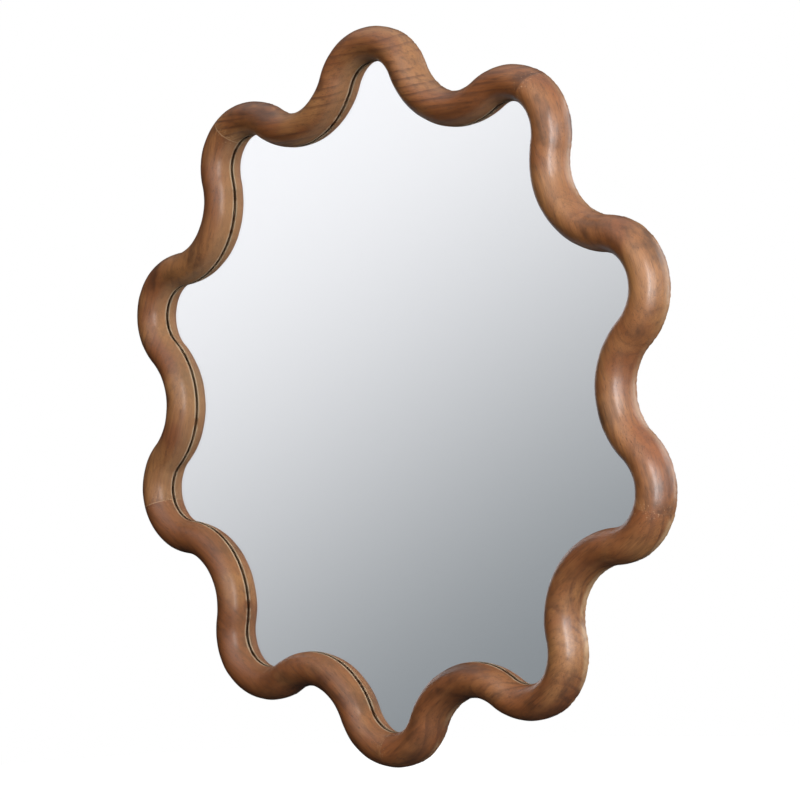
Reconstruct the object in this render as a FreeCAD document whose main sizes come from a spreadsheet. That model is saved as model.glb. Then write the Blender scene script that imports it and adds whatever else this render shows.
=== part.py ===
# A round wall mirror in a wavy frame of stained wood.
#
# The wave is made of tangent arcs: ten lobes, whose centres lie on one circle, and ten valleys
# between them, whose centres lie on a wider one. Five rails, each from the crest of one lobe to the
# crest of the next but one, are butt jointed with dowels. The glass sits in a rebate behind the
# rails' front lip, a wider and shallower rebate takes the back panel, and the frame hangs by two
# D-rings with rubber bumpers between it and the wall.
#
# Axes: +Z is up, the mirror faces -Y and +X is to the right of someone who looks into it.
# The origin is the middle of the wave, on the wall plane that the bumpers rest against.
import FreeCAD
import Part
import math
import os
import Sketcher
from FreeCAD import Placement, Rotation, Vector

# Rails clockwise from the top, as seen from the front.
RAIL_NAMES = ("top", "upper_right", "lower_right", "lower_left", "upper_left")
RAILS = len(RAIL_NAMES)
LOBES = 2 * RAILS
RAIL_TURN = 360 / RAILS
LOBE_TURN = 360 / LOBES
VALLEY_TURN = LOBE_TURN / 2

# Driving dimensions in millimetres, each with its name in the sheet.
SIZES = (
    ("lobe_ring_radius", 372, "circle through the lobes' centres"),
    ("lobe_bend_radius", 63.5, "bend of a lobe, on the rail's middle line"),
    ("valley_ring_radius", 451.5, "circle through the valleys' centres"),
    ("rail_width", 43, "rail across its section, along the glass"),
    ("dome_height", 27.5, "rounded front of the rail, from the glass forward"),
    ("crown_radius", 18, "top of the rail's rounded front"),
    ("back_edge_radius", 2, "rounding of the rail's outer back edge"),
    ("lip_width", 10, "how far the rail's front lip covers the rebate for the glass"),
    ("ledge_width", 10, "ledge that the back panel is screwed to"),
    ("glass_thickness", 4, "mirror glass"),
    ("silver_thickness", 0.2, "silvering with its protective paint"),
    ("foam_thickness", 3, "foam pads between glass and panel"),
    ("panel_thickness", 6, "fibreboard back panel"),
    ("panel_recess", 1.3, "back panel below the rails' back faces"),
    ("glass_edge_gap", 1.5, "glass to the wall of its rebate"),
    ("panel_edge_gap", 1, "back panel to the wall of its rebate"),
    ("spacer_fit", 0.1, "each side of a rubber spacer at the glass's edge"),
    ("spacer_sweep", 24, "degrees of a lobe that one spacer covers"),
    ("foam_side", 40, "side of a square foam pad"),
    ("foam_ring_radius", 330, "circle of the outer foam pads"),
    ("dowel_radius", 4, "joint dowel"),
    ("dowel_length", 40, "joint dowel"),
    ("dowel_bevel", 1, "bevel at a dowel's ends"),
    ("dowel_fit", 0.1, "dowel to its hole, on the radius"),
    ("dowel_end_gap", 1, "dowel's end to its hole's floor"),
    ("dowel_lead", 8.5, "dowels' middle lines, forward of the glass"),
    ("inner_dowel_offset", 8, "inner dowel to the rail's middle line"),
    ("outer_dowel_offset", 10, "outer dowel to the rail's middle line"),
    ("screw_radius", 1.6, "wood screw, over its thread"),
    ("screw_length", 16, "wood screw from its seat"),
    ("screw_tip", 3, "pointed end of a wood screw"),
    ("screw_fit", 0.1, "wood screw to its hole, on the radius"),
    ("screw_end_gap", 1, "screw's point to its hole's floor"),
    ("flat_head_radius", 3.2, "countersunk head"),
    ("pan_head_radius", 3, "bumper screw's head"),
    ("pan_head_height", 2, "bumper screw's head"),
    ("recess_arm", 1.6, "cross recess in a screw's head, from its middle"),
    ("recess_half_width", 0.4, "arm of the cross recess"),
    ("recess_depth", 1.1, "cross recess"),
    ("bumper_height", 6, "wall to the rails' back faces"),
    ("bumper_radius", 7.5, "bumper's foot on the rail"),
    ("bumper_face_radius", 6.8, "bumper's face on the wall"),
    ("bumper_well_radius", 3.8, "well for the screw's head"),
    ("bumper_well_depth", 3, "well for the screw's head"),
    ("bumper_offset", 6.5, "bumper outward from the rail's middle line"),
    ("hanger_offset", 6.5, "strap outward from the rail's middle line"),
    ("strap_width", 12, "hanger strap"),
    ("strap_thickness", 1, "hanger strap's steel sheet"),
    ("strap_reach", 34, "hanger strap below the middle of its eye"),
    ("strap_rise", 1, "hanger strap's plate above the middle of its eye"),
    ("eye_lift", 0.3, "rolled eye above the rail's back face"),
    ("eye_fit", 0.1, "ring's wire to the eye, on the radius"),
    ("upper_screw_drop", 12, "upper hanger screw below the middle of the eye"),
    ("hanger_screw_pitch", 14, "between a strap's two screws"),
    ("ring_wire_radius", 1.5, "wire of a D-ring"),
    ("ring_half_width", 10.5, "middle of a D-ring to its side, on the wire's middle line"),
    ("ring_corner_radius", 3.5, "bend beside the D-ring's bar"),
    ("ring_side", 4, "straight side of a D-ring"),
)

# Places worked out from the driving dimensions. Depths are measured forward from the wall plane,
# and an inset is measured from the rail's middle line towards the glass.
LAYOUT = (
    ("half_rail", "Sizes.rail_width / 2"),
    ("crest_line", "Sizes.lobe_ring_radius + Sizes.lobe_bend_radius"),
    ("valley_across", f"Sizes.valley_ring_radius * sin({VALLEY_TURN} deg)"),
    ("valley_beyond", f"Sizes.valley_ring_radius * cos({VALLEY_TURN} deg) - Sizes.lobe_ring_radius"),
    ("lobe_sweep", "atan2(Layout.valley_across; Layout.valley_beyond)"),
    ("valley_sweep", f"Layout.lobe_sweep - {VALLEY_TURN} deg"),
    ("valley_bend_radius",
     "sqrt(Layout.valley_across ^ 2 + Layout.valley_beyond ^ 2) - Sizes.lobe_bend_radius"),
    ("panel_back", "Sizes.bumper_height + Sizes.panel_recess"),
    ("panel_seat", "Layout.panel_back + Sizes.panel_thickness"),
    ("silver_back", "Layout.panel_seat + Sizes.foam_thickness"),
    ("glass_back", "Layout.silver_back + Sizes.silver_thickness"),
    ("glass_front", "Layout.glass_back + Sizes.glass_thickness"),
    ("crown_centre", "Layout.glass_front + Sizes.dome_height - Sizes.crown_radius"),
    ("glass_wall_inset", "Layout.half_rail - Sizes.lip_width"),
    ("panel_wall_inset", "Layout.glass_wall_inset - Sizes.ledge_width"),
    ("glass_inset", "Layout.glass_wall_inset + Sizes.glass_edge_gap"),
    ("panel_inset", "Layout.panel_wall_inset + Sizes.panel_edge_gap"),
    ("panel_screw_inset", "(Layout.glass_wall_inset + Layout.panel_inset) / 2"),
    ("lobe_screw_ring", "Layout.crest_line - Layout.panel_screw_inset"),
    ("valley_screw_ring",
     "Sizes.valley_ring_radius - Layout.valley_bend_radius - Layout.panel_screw_inset"),
    ("bumper_ring", "Layout.crest_line + Sizes.bumper_offset"),
    ("screw_hole_radius", "Sizes.screw_radius + Sizes.screw_fit"),
    ("flat_head_height", "Sizes.flat_head_radius - Sizes.screw_radius"),
    ("dowel_depth", "Layout.glass_front + Sizes.dowel_lead"),
    ("dowel_hole_depth", "Sizes.dowel_length / 2 + Sizes.dowel_end_gap"),
    ("eye_bore_radius", "Sizes.ring_wire_radius + Sizes.eye_fit"),
    ("eye_radius", "Layout.eye_bore_radius + Sizes.strap_thickness"),
    ("eye_depth", "Sizes.bumper_height - Sizes.eye_lift - Layout.eye_radius"),
    ("strap_back", "Sizes.bumper_height - Sizes.strap_thickness"),
    # The rail runs upright between the second lobe's outer flank and the next valley's.
    ("flank_x", f"Sizes.lobe_ring_radius * sin({LOBE_TURN} deg) + Sizes.lobe_bend_radius"),
    ("flank_z", f"Sizes.lobe_ring_radius * cos({LOBE_TURN} deg)"),
    ("bay_x",
     f"Sizes.valley_ring_radius * sin({LOBE_TURN + VALLEY_TURN} deg) - Layout.valley_bend_radius"),
    ("bay_z", f"Sizes.valley_ring_radius * cos({LOBE_TURN + VALLEY_TURN} deg)"),
    ("hanger_x", "(Layout.flank_x + Layout.bay_x) / 2 + Sizes.hanger_offset"),
    ("eye_z", "(Layout.flank_z + Layout.bay_z) / 2 + Sizes.strap_reach / 2"),
    ("upper_screw_z", "Layout.eye_z - Sizes.upper_screw_drop"),
    ("lower_screw_z", "Layout.upper_screw_z - Sizes.hanger_screw_pitch"),
)

SKETCH_NORMAL = Vector(0, 0, 1)
# A sketch's constraints count its axes downwards from -1 and the points of a shape upwards from 1.
HORIZONTAL_AXIS, VERTICAL_AXIS = range(-1, -3, -1)
ORIGIN = HORIZONTAL_AXIS
START, END, CENTRE = range(1, 4)
ON_AXIS = 1e-9
UPWARD, DOWNWARD = 90, 270
LOBE_RING = "Sizes.lobe_ring_radius"
VALLEY_RING = "Sizes.valley_ring_radius"
PANEL_SCREWS = (("lobe", "Layout.lobe_screw_ring", 0, RAILS),
                ("valley", "Layout.valley_screw_ring", VALLEY_TURN, LOBES))
DOWEL_SHIFTS = {"inner": "- Sizes.inner_dowel_offset", "outer": "+ Sizes.outer_dowel_offset"}

document = FreeCAD.newDocument("WavyMirror")


def fill_sheet(name, rows):
    """Makes a sheet with one aliased cell for each row, and a note beside it if the row has one."""
    sheet = document.addObject("Spreadsheet::Sheet", name)
    for line, (alias, content, *note) in enumerate(rows, start=1):
        sheet.set(f"A{line}", str(content))
        sheet.setAlias(f"A{line}", alias)
        sheet.set(f"B{line}", " ".join(note))
    document.recompute()
    return sheet


sizes_sheet = fill_sheet("Sizes", SIZES)
fill_sheet("Layout", [(alias, f"={formula}") for alias, formula in LAYOUT])


def value_of(expression):
    """The present value of an expression of the sheets, in millimetres or degrees."""
    return float(sizes_sheet.evalExpression(expression))


# ---------------------------------------------------------------- bodies and sketches

def new_body(name):
    body = document.addObject("PartDesign::Body", name)
    body.Label = name
    return body


def origin_part(body, role):
    return next(part for part in body.Origin.OriginFeatures if part.Role == role)


def new_sketch(body, name, plane, offset=None):
    """A sketch on one of the body's origin planes. XZ faces the viewer, YZ is the section."""
    sketch = body.newObject("Sketcher::SketchObject", f"{body.Name}_{name}")
    sketch.AttachmentSupport = [(origin_part(body, f"{plane}_Plane"), "")]
    sketch.MapMode = "FlatFace"
    if offset:
        sketch.AttachmentOffset = offset
    return sketch


def raise_sketch(sketch, depth):
    """Moves a sketch of the XZ plane forward from the wall."""
    sketch.AttachmentOffset = Placement(Vector(0, 0, value_of(depth)), Rotation())
    sketch.setExpression("AttachmentOffset.Base.z", depth)


def stand_sketch(sketch, across, up, lean=0):
    """Moves a sketch of the YZ plane across and up, and leans it clockwise as seen from the front."""
    base = Vector(0, value_of(up), value_of(across))
    sketch.AttachmentOffset = Placement(base, Rotation(Vector(1, 0, 0), lean))
    sketch.setExpression("AttachmentOffset.Base.y", up)
    sketch.setExpression("AttachmentOffset.Base.z", across)


def drive(sketch, kind, *where, size):
    """Adds a dimension to a sketch and ties it to an expression of the sheets."""
    number = sketch.addConstraint(Sketcher.Constraint(kind, *where, value_of(size)))
    sketch.setExpression(f"Constraints[{number}]", size)


def pin(sketch, shape, end, across, up):
    """Fixes a point by its two distances from the sketch's origin."""
    for kind, size, axis in (("DistanceX", across, VERTICAL_AXIS), ("DistanceY", up, HORIZONTAL_AXIS)):
        if abs(value_of(size)) < ON_AXIS:
            sketch.addConstraint(Sketcher.Constraint("PointOnObject", shape, end, axis))
        else:
            drive(sketch, kind, ORIGIN, START, shape, end, size=size)


def join(sketch, first, first_end, second, second_end, kind="Coincident"):
    sketch.addConstraint(Sketcher.Constraint(kind, first, first_end, second, second_end))


def at(across, up):
    return Vector(value_of(across), value_of(up), 0)


def add_line(sketch, start, end):
    return sketch.addGeometry(Part.LineSegment(at(*start), at(*end)), False)


def add_arc(sketch, centre, radius, start, end):
    """An arc by its centre, radius and angles in degrees, anticlockwise."""
    circle = Part.Circle(centre, SKETCH_NORMAL, radius)
    return sketch.addGeometry(Part.ArcOfCircle(circle, math.radians(start), math.radians(end)), False)


def draw_polygon(sketch, points):
    """A closed outline of straight lines with every corner fixed."""
    lines = []
    for start, end in zip(points, points[1:] + points[:1]):
        lines.append(add_line(sketch, start, end))
    for line, start, following in zip(lines, points, lines[1:] + lines[:1]):
        pin(sketch, line, START, *start)
        join(sketch, line, END, following, START)


def draw_rectangle(sketch, left, right, bottom, top):
    draw_polygon(sketch, [(left, bottom), (right, bottom), (right, top), (left, top)])


def draw_circle(sketch, across, up, radius):
    circle = Part.Circle(at(across, up), SKETCH_NORMAL, value_of(radius))
    shape = sketch.addGeometry(circle, False)
    pin(sketch, shape, CENTRE, across, up)
    drive(sketch, "Radius", shape, size=radius)


# ---------------------------------------------------------------- features

def add_feature(body, kind, name, sketch, **settings):
    """A feature made from a sketch. Text settings are expressions, the rest plain values."""
    feature = body.newObject(f"PartDesign::{kind}", f"{body.Name}_{name}")
    feature.Profile = sketch
    for key, setting in settings.items():
        if isinstance(setting, str):
            setattr(feature, key, value_of(setting))
            feature.setExpression(key, setting)
        else:
            setattr(feature, key, setting)
    sketch.Visibility = False
    document.recompute()
    return feature


def pad(body, name, sketch, length, **settings):
    return add_feature(body, "Pad", name, sketch, Length=length, **settings)


def pocket(body, name, sketch, length, backward=False):
    return cut(body, "Pocket", name, sketch, Length=length, Reversed=backward)


def cut(body, kind, name, sketch, **settings):
    """A Pocket or Groove, which has to leave the body with less volume than before."""
    before = body.Shape.Volume
    feature = add_feature(body, kind, name, sketch, **settings)
    if not body.Shape.Volume < before:
        raise RuntimeError(f"{feature.Name} removes nothing")
    return feature


def revolve(body, name, sketch):
    return add_feature(body, "Revolution", name, sketch, ReferenceAxis=(sketch, ["H_Axis"]), Angle=360)


def groove(body, name, sketch):
    return cut(body, "Groove", name, sketch, ReferenceAxis=(sketch, ["H_Axis"]), Angle=360)


def polar_pattern(body, name, features, copies):
    """Repeats features about the mirror's middle."""
    pattern = body.newObject("PartDesign::PolarPattern", f"{body.Name}_{name}")
    pattern.Originals = features
    pattern.Axis = (origin_part(body, "Y_Axis"), [""])
    pattern.Angle = 360
    pattern.Occurrences = copies
    body.Tip = pattern
    document.recompute()
    return pattern


def mirror_across(body, name, features):
    """Repeats features on the other side of the upright middle plane."""
    mirrored = body.newObject("PartDesign::Mirrored", f"{body.Name}_{name}")
    mirrored.Originals = features
    mirrored.MirrorPlane = (origin_part(body, "YZ_Plane"), [""])
    body.Tip = mirrored
    document.recompute()
    return mirrored


def draw_countersink(sketch, face, near, far):
    """Half of the hole for a screw whose flat head is level with a face, between two depths."""
    throat = f"{face} + Layout.flat_head_height"
    flare = f"Sizes.flat_head_radius + Sizes.screw_fit + {face}"
    points = [(f"-({near})", "0"), (f"-({near})", f"{flare} - ({near})")]
    if value_of(throat) < value_of(far):
        points += [(f"-({throat})", "Layout.screw_hole_radius"), (f"-({far})", "Layout.screw_hole_radius")]
    else:
        points.append((f"-({far})", f"{flare} - ({far})"))
    draw_polygon(sketch, points + [(f"-({far})", "0")])


# ---------------------------------------------------------------- the wave

def ring_point(radius, turn):
    """A point of a ring as two expressions, clockwise from the top."""
    return f"({radius}) * sin({turn} deg)", f"({radius}) * cos({turn} deg)"


def turned_point(across, up, turn):
    """A place on the mirror, in the axes of a piece that is drawn before it is turned clockwise."""
    return (f"({across}) * cos({turn} deg) - ({up}) * sin({turn} deg)",
            f"({across}) * sin({turn} deg) + ({up}) * cos({turn} deg)")


def add_bend(sketch, ring, turn, radius, facing, clockwise, anticlockwise):
    """A lobe or valley: an arc about a point of a ring, by its sweep to each side of its middle."""
    centre = at(*ring_point(ring, turn))
    middle = facing - turn
    shape = add_arc(sketch, centre, value_of(radius), middle - clockwise, middle + anticlockwise)
    drive(sketch, "Radius", shape, size=radius)
    return shape


def draw_wave(sketch, inset, lobe_count, closed):
    """Alternate lobes and valleys, clockwise from the top. An open wave starts and ends on a crest."""
    lobe_radius = f"Sizes.lobe_bend_radius - ({inset})"
    valley_radius = f"Layout.valley_bend_radius + ({inset})"
    lobe_sweep = value_of("Layout.lobe_sweep")
    valley_sweep = value_of("Layout.valley_sweep")
    last = lobe_count - 1
    lobes = []
    valleys = []
    for number in range(lobe_count):
        turn = number * LOBE_TURN
        clockwise = lobe_sweep if closed or number < last else 0
        anticlockwise = lobe_sweep if closed or number > 0 else 0
        lobe = add_bend(sketch, LOBE_RING, turn, lobe_radius, UPWARD, clockwise, anticlockwise)
        pin(sketch, lobe, CENTRE, *ring_point(LOBE_RING, turn))
        lobes.append(lobe)
        if closed or number < last:
            valleys.append(add_bend(sketch, VALLEY_RING, turn + VALLEY_TURN, valley_radius, DOWNWARD,
                                    valley_sweep, valley_sweep))
    for lobe, valley, next_lobe in zip(lobes, valleys, lobes[1:] + lobes[:1]):
        join(sketch, lobe, START, valley, START, "Tangent")
        join(sketch, valley, END, next_lobe, END, "Tangent")
    return lobes


def draw_wave_sheet(body, name, inset, back, thickness):
    """A sheet with the wave's closed outline, between two depths."""
    sketch = new_sketch(body, f"{name}_outline", "XZ")
    raise_sketch(sketch, back)
    draw_wave(sketch, inset, LOBES, closed=True)
    document.recompute()
    return pad(body, name, sketch, thickness)


# ---------------------------------------------------------------- rails

def draw_rail_path(body):
    """The rail's middle line, from a crest at the top clockwise to the crest after next."""
    sketch = new_sketch(body, "path", "XZ")
    lobes = draw_wave(sketch, "0", LOBES // RAILS + 1, closed=False)
    sketch.addConstraint(Sketcher.Constraint("PointOnObject", lobes[0], END, VERTICAL_AXIS))
    _, end_up = ring_point("Layout.crest_line", RAIL_TURN)
    drive(sketch, "DistanceY", ORIGIN, START, lobes[-1], START, size=end_up)
    document.recompute()
    return sketch


def draw_rail_section(body):
    """The rail's section at the crest: a three-arc dome in front, straight sides behind it, and
    two steps on the inside for the glass and the back panel."""
    sketch = new_sketch(body, "section", "YZ")
    back = "-Sizes.bumper_height"
    front = "-Layout.glass_front"
    seat = "-Layout.panel_seat"
    outer = "Layout.crest_line + Layout.half_rail"
    inner = "Layout.crest_line - Layout.half_rail"
    glass_wall = "Layout.crest_line - Layout.glass_wall_inset"
    panel_wall = "Layout.crest_line - Layout.panel_wall_inset"
    edge_back = f"{back} - Sizes.back_edge_radius"
    edge_side = f"{outer} - Sizes.back_edge_radius"
    corners = [(front, inner), (front, glass_wall), (seat, glass_wall), (seat, panel_wall),
               (back, panel_wall), (back, edge_side)]
    lines = [add_line(sketch, start, end) for start, end in zip(corners, corners[1:])]
    for line, start in zip(lines, corners):
        pin(sketch, line, START, *start)
    for line, following in zip(lines, lines[1:]):
        join(sketch, line, END, following, START)
    pin(sketch, lines[-1], END, back, edge_side)
    edge = add_arc(sketch, at(edge_back, edge_side), value_of("Sizes.back_edge_radius"), 0, 90)
    side = add_line(sketch, (edge_back, outer), (front, outer))
    join(sketch, lines[-1], END, edge, START, "Tangent")
    join(sketch, edge, END, side, START, "Tangent")
    drive(sketch, "Radius", edge, size="Sizes.back_edge_radius")
    pin(sketch, side, END, front, outer)
    draw_dome(sketch, side, lines[0], inner)
    return sketch


def draw_dome(sketch, side, lip, inner):
    """The rounded front: a crown arc on the rail's middle line and an arc down to each side."""
    half = value_of("Layout.half_rail")
    crown_radius = value_of("Sizes.crown_radius")
    middle = value_of("Layout.crest_line")
    front = value_of("-Layout.glass_front")
    rise = value_of("Sizes.dome_height - Sizes.crown_radius")
    flank_radius = (half ** 2 + rise ** 2 - crown_radius ** 2) / (2 * (half - crown_radius))
    tilt = math.degrees(math.atan2(rise, flank_radius - half))
    outer_centre = Vector(front, middle + half - flank_radius, 0)
    inner_centre = Vector(front, middle - half + flank_radius, 0)
    outer_flank = add_arc(sketch, outer_centre, flank_radius, 90, 90 + tilt)
    crown = add_arc(sketch, Vector(front - rise, middle, 0), crown_radius, 90 + tilt, 270 - tilt)
    inner_flank = add_arc(sketch, inner_centre, flank_radius, 270 - tilt, 270)
    join(sketch, side, END, outer_flank, START, "Tangent")
    join(sketch, outer_flank, END, crown, START, "Tangent")
    join(sketch, crown, END, inner_flank, START, "Tangent")
    join(sketch, inner_flank, END, lip, START)
    pin(sketch, crown, CENTRE, "-Layout.crown_centre", "Layout.crest_line")
    drive(sketch, "Radius", crown, size="Sizes.crown_radius")
    drive(sketch, "DistanceX", ORIGIN, START, inner_flank, CENTRE, size="-Layout.glass_front")


def bore_dowel_holes(body, name, turn, backward):
    """Two dowel holes in one end of a rail."""
    offset = Placement(Vector(), Rotation(Vector(1, 0, 0), turn))
    sketch = new_sketch(body, name, "YZ", offset)
    for shift in DOWEL_SHIFTS.values():
        draw_circle(sketch, "-Layout.dowel_depth", f"Layout.crest_line {shift}",
                    "Sizes.dowel_radius + Sizes.dowel_fit")
    document.recompute()
    pocket(body, f"{name}_pocket", sketch, "Layout.dowel_hole_depth", backward)


def bore_screw_hole(body, name, ring, lean, seat):
    """A blind screw hole from a seat at some depth forward into the rail."""
    sketch = new_sketch(body, name, "YZ")
    stand_sketch(sketch, *ring_point(ring, lean), lean)
    floor = f"-({seat}) - Sizes.screw_length - Sizes.screw_end_gap"
    draw_rectangle(sketch, floor, "0", "0", "Layout.screw_hole_radius")
    document.recompute()
    return groove(body, f"{name}_groove", sketch)


def bore_hanger_holes(body, side, turn):
    """The two holes for a strap's screws, with countersunk mouths because the strap is thin."""
    floor = "Layout.strap_back + Sizes.screw_length + Sizes.screw_end_gap"
    for name in ("upper", "lower"):
        sketch = new_sketch(body, f"{name}_hanger", "YZ")
        place = turned_point(f"{side} * Layout.hanger_x", f"Layout.{name}_screw_z", turn)
        stand_sketch(sketch, *place)
        draw_countersink(sketch, "Layout.strap_back", "Sizes.bumper_height", floor)
        document.recompute()
        groove(body, f"{name}_hanger_hole", sketch)


def make_rail(name, turn):
    """One rail, drawn with its first end at the top of the wave and then turned to its place."""
    body = new_body(f"rail_{name}")
    path = draw_rail_path(body)
    section = draw_rail_section(body)
    document.recompute()
    sweep = add_feature(body, "AdditivePipe", "sweep", section)
    sweep.Spine = (path, [f"Edge{number + 1}" for number in range(len(path.Shape.Edges))])
    path.Visibility = False
    document.recompute()
    bore_dowel_holes(body, "first_dowels", 0, True)
    bore_dowel_holes(body, "last_dowels", RAIL_TURN, False)
    for hole, ring, lean in (("lobe", "Layout.lobe_screw_ring", LOBE_TURN),
                             ("first_valley", "Layout.valley_screw_ring", VALLEY_TURN),
                             ("last_valley", "Layout.valley_screw_ring", RAIL_TURN - VALLEY_TURN)):
        bore_screw_hole(body, f"{hole}_hole", ring, lean, "Layout.panel_back")
    bore_screw_hole(body, "bumper_hole", "Layout.bumper_ring", LOBE_TURN, "Sizes.bumper_well_depth")
    if name == "upper_right":
        bore_hanger_holes(body, 1, turn)
    if name == "upper_left":
        bore_hanger_holes(body, -1, turn)
    body.Placement = Placement(Vector(), Rotation(Vector(0, 1, 0), turn))
    return body


def make_joint_dowels():
    """Two bevelled dowels across each joint. The first joint is on the left of the top rail."""
    body = new_body("joint_dowels")
    features = []
    for name, shift in DOWEL_SHIFTS.items():
        sketch = new_sketch(body, name, "XZ")
        raise_sketch(sketch, "Layout.dowel_depth")
        sketch.setExpression("AttachmentOffset.Base.y", f"Layout.crest_line {shift}")
        half = "Sizes.dowel_length / 2"
        radius = "Sizes.dowel_radius"
        bevelled_half = f"{half} - Sizes.dowel_bevel"
        bevelled_radius = f"{radius} - Sizes.dowel_bevel"
        draw_polygon(sketch, [
            (f"-{half}", "0"), (half, "0"), (half, bevelled_radius), (bevelled_half, radius),
            (f"-({bevelled_half})", radius), (f"-{half}", bevelled_radius)])
        document.recompute()
        features.append(revolve(body, f"{name}_dowel", sketch))
    polar_pattern(body, "joints", features, RAILS)
    body.Placement = Placement(Vector(), Rotation(Vector(0, 1, 0), LOBE_TURN))
    return body


# ---------------------------------------------------------------- glass and back

def make_mirror_glass():
    body = new_body("mirror_glass")
    draw_wave_sheet(body, "pane", "Layout.glass_inset", "Layout.glass_back", "Sizes.glass_thickness")
    return body


def make_silver_backing():
    body = new_body("silver_backing")
    draw_wave_sheet(body, "coat", "Layout.glass_inset", "Layout.silver_back", "Sizes.silver_thickness")
    return body


def make_glass_spacers():
    """A curved rubber strip at each whole lobe, between the glass's edge and its rebate's wall."""
    body = new_body("glass_spacers")
    sketch = new_sketch(body, "strip", "XZ")
    raise_sketch(sketch, "Layout.glass_back")
    near = "(Sizes.lobe_bend_radius - Layout.glass_inset + Sizes.spacer_fit)"
    far = "(Sizes.lobe_bend_radius - Layout.glass_wall_inset - Sizes.spacer_fit)"
    half_sweep = value_of("Sizes.spacer_sweep / 2")
    centre = at("0", LOBE_RING)
    arcs = []
    for radius in (near, far):
        arc = add_arc(sketch, centre, value_of(radius), UPWARD - half_sweep, UPWARD + half_sweep)
        pin(sketch, arc, CENTRE, "0", LOBE_RING)
        drive(sketch, "Radius", arc, size=radius)
        arcs.append(arc)
    for end, side in ((START, 1), (END, -1)):
        tilt = f"({side} * Sizes.spacer_sweep / 2 * 1 deg)"
        near_end = (f"{near} * sin{tilt}", f"{LOBE_RING} + {near} * cos{tilt}")
        far_end = (f"{far} * sin{tilt}", f"{LOBE_RING} + {far} * cos{tilt}")
        edge = add_line(sketch, near_end, far_end)
        join(sketch, edge, START, arcs[0], end)
        join(sketch, edge, END, arcs[1], end)
        drive(sketch, "DistanceX", ORIGIN, START, edge, START, size=near_end[0])
        drive(sketch, "DistanceX", ORIGIN, START, edge, END, size=far_end[0])
    document.recompute()
    strip = pad(body, "spacer", sketch, "Sizes.glass_thickness")
    polar_pattern(body, "lobes", [strip], RAILS)
    return body


def make_foam_pads():
    """One pad at the middle and one near each lobe."""
    body = new_body("foam_pads")
    half = "Sizes.foam_side / 2"
    pads = []
    for name, ring in (("middle", "0"), ("outer", "Sizes.foam_ring_radius")):
        sketch = new_sketch(body, name, "XZ")
        raise_sketch(sketch, "Layout.panel_seat")
        draw_rectangle(sketch, f"-{half}", half, f"{ring} - {half}", f"{ring} + {half}")
        document.recompute()
        pads.append(pad(body, f"{name}_pad", sketch, "Sizes.foam_thickness"))
    polar_pattern(body, "ring", pads[1:], LOBES)
    return body


def make_back_panel():
    """The panel with a countersunk hole for each of its screws."""
    body = new_body("back_panel")
    draw_wave_sheet(body, "board", "Layout.panel_inset", "Layout.panel_back", "Sizes.panel_thickness")
    for name, ring, lean, copies in PANEL_SCREWS:
        sketch = new_sketch(body, f"{name}_hole", "YZ")
        stand_sketch(sketch, *ring_point(ring, lean), lean)
        draw_countersink(sketch, "Layout.panel_back", "Layout.panel_back", "Layout.panel_seat")
        document.recompute()
        hole = groove(body, f"{name}_countersink", sketch)
        polar_pattern(body, f"{name}_holes", [hole], copies)
    return body


# ---------------------------------------------------------------- screws

def draw_flat_screw(sketch, face):
    """Half of a countersunk screw whose head is level with a face."""
    seat = f"-({face})"
    neck = f"{seat} - Layout.flat_head_height"
    point = f"{seat} - Sizes.screw_length"
    draw_polygon(sketch, [
        (seat, "0"), (seat, "Sizes.flat_head_radius"), (neck, "Sizes.screw_radius"),
        (f"{point} + Sizes.screw_tip", "Sizes.screw_radius"), (point, "0")])


def draw_pan_screw(sketch, face):
    """Half of a screw with a cylindrical head on a face."""
    seat = f"-({face})"
    point = f"{seat} - Sizes.screw_length"
    top = f"{seat} + Sizes.pan_head_height"
    draw_polygon(sketch, [
        (top, "0"), (top, "Sizes.pan_head_radius"), (seat, "Sizes.pan_head_radius"),
        (seat, "Sizes.screw_radius"), (f"{point} + Sizes.screw_tip", "Sizes.screw_radius"), (point, "0")])


def draw_cross(sketch, across, up):
    """A cross recess: a square with an arm on each side."""
    arm = "Sizes.recess_arm"
    half = "Sizes.recess_half_width"
    corners = []
    for sign_x, sign_z, arm_first in ((1, 1, True), (-1, 1, False), (-1, -1, True), (1, -1, False)):
        steps = [(arm, half), (half, half), (half, arm)]
        if not arm_first:
            steps.reverse()
        corners += [(f"{across} + {sign_x} * {x}", f"{up} + {sign_z} * {z}") for x, z in steps]
    draw_polygon(sketch, corners)


def add_screw(body, name, draw, face, top, place, lean=0):
    """A screw along Y at a place across and up, with a cross recess in its head's top."""
    half_profile = new_sketch(body, f"{name}_profile", "YZ")
    stand_sketch(half_profile, *place, lean)
    draw(half_profile, face)
    cross = new_sketch(body, f"{name}_cross", "XZ")
    raise_sketch(cross, top)
    draw_cross(cross, *place)
    document.recompute()
    screw = revolve(body, f"{name}_screw", half_profile)
    recess = pocket(body, f"{name}_recess", cross, "Sizes.recess_depth", True)
    return [screw, recess]


def make_panel_screws():
    """A screw at each whole lobe and at each valley."""
    body = new_body("panel_screws")
    face = "Layout.panel_back"
    for name, ring, lean, copies in PANEL_SCREWS:
        features = add_screw(body, name, draw_flat_screw, face, face, ring_point(ring, lean), lean)
        polar_pattern(body, f"{name}_ring", features, copies)
    return body


def make_bumper_screws():
    body = new_body("bumper_screws")
    face = "Sizes.bumper_well_depth"
    top = f"{face} - Sizes.pan_head_height"
    place = ring_point("Layout.bumper_ring", 0)
    features = add_screw(body, "bumper", draw_pan_screw, face, top, place)
    polar_pattern(body, "bumpers", features, RAILS)
    return body


def make_hanger_screws():
    """Two screws in the right-hand strap, and the same on the left."""
    body = new_body("hanger_screws")
    face = "Layout.strap_back"
    features = []
    for name in ("upper", "lower"):
        place = ("Layout.hanger_x", f"Layout.{name}_screw_z")
        features += add_screw(body, name, draw_flat_screw, face, face, place)
    mirror_across(body, "pair", features)
    return body


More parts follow.
